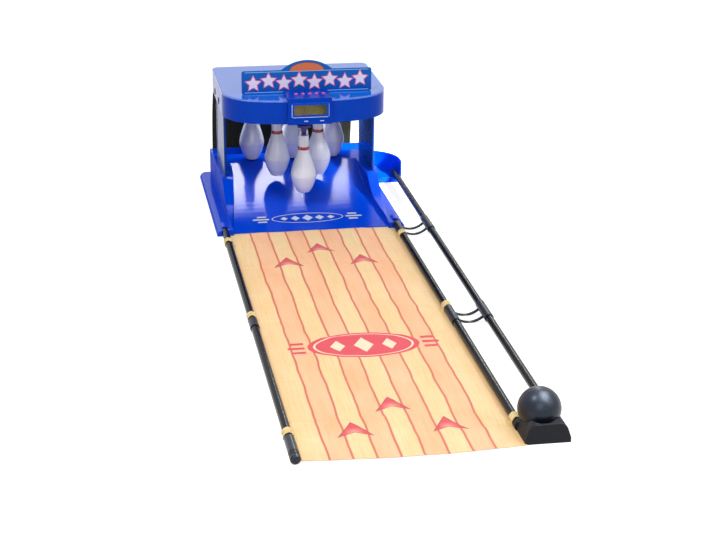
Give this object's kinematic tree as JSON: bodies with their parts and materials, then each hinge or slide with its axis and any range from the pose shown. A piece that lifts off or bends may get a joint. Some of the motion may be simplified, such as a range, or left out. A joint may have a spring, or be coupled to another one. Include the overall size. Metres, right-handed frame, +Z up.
{
  "type": "table bowling game",
  "caption": "Indoor bowling set: cloth lane between tubes, ramp and canopy cabinet with hanging swing-back pins, score console, and a ball return track ending in a cradle.",
  "frame": {"origin": "on the floor under the middle of the whole set's box", "axes": "+Y along the lane from the player towards the pins, +Z up, +X to the player's right, where the ball return track is"},
  "size_m": [0.5076, 1.6758, 0.389],
  "materials": {
    "gloss_blue": "gloss",
    "deep_blue": "gloss",
    "roof_blue": "gloss",
    "panel_blue": "gloss",
    "tube_black": "gloss",
    "joint_black": "satin",
    "cradle_grey": "matte",
    "steel": "satin",
    "foot_rubber": "matte",
    "pin_white": "gloss",
    "button_pink": "gloss",
    "bezel_blue": "gloss",
    "lcd_clear": "gloss",
    "lcd_olive": "matte",
    "board_green": "satin",
    "speaker_black": "matte",
    "cell_wrap": "gloss",
    "cable_grey": "satin",
    "sign_print": "satin",
    "net_black": "matte",
    "lane_cloth": "matte",
    "loop_cloth": "matte",
    "ball_black": "gloss"
  },
  "bodies": {
    "cabinet_and_track": {"base_shell": "gloss_blue", "rubber_feet": "foot_rubber", "ball_gutter": "deep_blue", "return_chute": "gloss_blue", "left_panel": "panel_blue", "right_panel": "panel_blue", "canopy_frame": "gloss_blue", "roof_cover": "roof_blue", "cabinet_screws": "steel", "console_housing": "gloss_blue", "lcd_bezel": "bezel_blue", "lcd_window": "lcd_clear", "lcd_module": "lcd_olive", "main_board": "board_green", "button_board": "board_green", "speaker": "speaker_black", "battery_cells": "cell_wrap", "battery_contacts": "steel", "pin_rack": "deep_blue", "rack_screws": "steel", "hinge_pins": "steel", "switch_board": "board_green", "trip_switches": "speaker_black", "ribbon_cable": "cable_grey", "sign_card": "sign_print", "net_rail": "steel", "back_net": "net_black", "left_tube_rear": "tube_black", "left_tube_front": "tube_black", "left_coupler": "joint_black", "left_end_cap": "joint_black", "inner_rail_stub": "tube_black", "inner_rail_rear": "tube_black", "inner_rail_front": "tube_black", "outer_rail_top": "tube_black", "outer_rail_rear": "tube_black", "outer_rail_front": "tube_black", "bridge_rear": "joint_black", "bridge_front": "joint_black", "ball_cradle": "cradle_grey", "lane_mat": "lane_cloth", "left_loops": "loop_cloth", "right_loops": "loop_cloth"},
    "ball_body": {"ball": "ball_black"},
    "battery_door_body": {"battery_door": "gloss_blue"},
    "pin_1": {"pin_1": "pin_white"},
    "pin_2": {"pin_2": "pin_white"},
    "pin_3": {"pin_3": "pin_white"},
    "pin_4": {"pin_4": "pin_white"},
    "pin_5": {"pin_5": "pin_white"},
    "pin_6": {"pin_6": "pin_white"},
    "button_1": {"button_1": "button_pink"},
    "button_2": {"button_2": "button_pink"},
    "button_3": {"button_3": "button_pink"},
    "button_4": {"button_4": "button_pink"},
    "button_5": {"button_5": "button_pink"}
  },
  "joints": [
    {"name": "pin_1_swing", "type": "hinge", "parent": "cabinet_and_track", "child": "pin_1", "pos_m": [-0.0318, 0.49305, 0.2095], "axis": [1, 0, 0], "range_deg": [-25, 30]},
    {"name": "pin_2_swing", "type": "hinge", "parent": "cabinet_and_track", "child": "pin_2", "pos_m": [-0.0823, 0.59805, 0.2225], "axis": [1, 0, 0], "range_deg": [-25, 30]},
    {"name": "pin_3_swing", "type": "hinge", "parent": "cabinet_and_track", "child": "pin_3", "pos_m": [0.0187, 0.59805, 0.2225], "axis": [1, 0, 0], "range_deg": [-25, 30]},
    {"name": "pin_4_swing", "type": "hinge", "parent": "cabinet_and_track", "child": "pin_4", "pos_m": [-0.1328, 0.70305, 0.2355], "axis": [1, 0, 0], "range_deg": [-25, 30]},
    {"name": "pin_5_swing", "type": "hinge", "parent": "cabinet_and_track", "child": "pin_5", "pos_m": [-0.0318, 0.70305, 0.2355], "axis": [1, 0, 0], "range_deg": [-25, 30]},
    {"name": "pin_6_swing", "type": "hinge", "parent": "cabinet_and_track", "child": "pin_6", "pos_m": [0.0692, 0.70305, 0.2355], "axis": [1, 0, 0], "range_deg": [-25, 30]},
    {"name": "button_1_press", "type": "slide", "parent": "cabinet_and_track", "child": "button_1", "axis": [0, 0, -1], "range_m": [0, 0.0018], "stiffness_N_per_m": 400},
    {"name": "button_2_press", "type": "slide", "parent": "cabinet_and_track", "child": "button_2", "axis": [0, 0, -1], "range_m": [0, 0.0018], "stiffness_N_per_m": 400},
    {"name": "button_3_press", "type": "slide", "parent": "cabinet_and_track", "child": "button_3", "axis": [0, 0, -1], "range_m": [0, 0.0018], "stiffness_N_per_m": 400},
    {"name": "button_4_press", "type": "slide", "parent": "cabinet_and_track", "child": "button_4", "axis": [0, 0, -1], "range_m": [0, 0.0018], "stiffness_N_per_m": 400},
    {"name": "button_5_press", "type": "slide", "parent": "cabinet_and_track", "child": "button_5", "axis": [0, 0, -1], "range_m": [0, 0.0018], "stiffness_N_per_m": 400},
    {"name": "battery_door_off", "type": "slide", "parent": "cabinet_and_track", "child": "battery_door_body", "axis": [0, 0, -1], "range_m": [0, 0.03]},
    {"name": "ball_lift", "type": "slide", "parent": "cabinet_and_track", "child": "ball_body", "axis": [0, 0, 1], "range_m": [0, 0.15]}
  ]
}
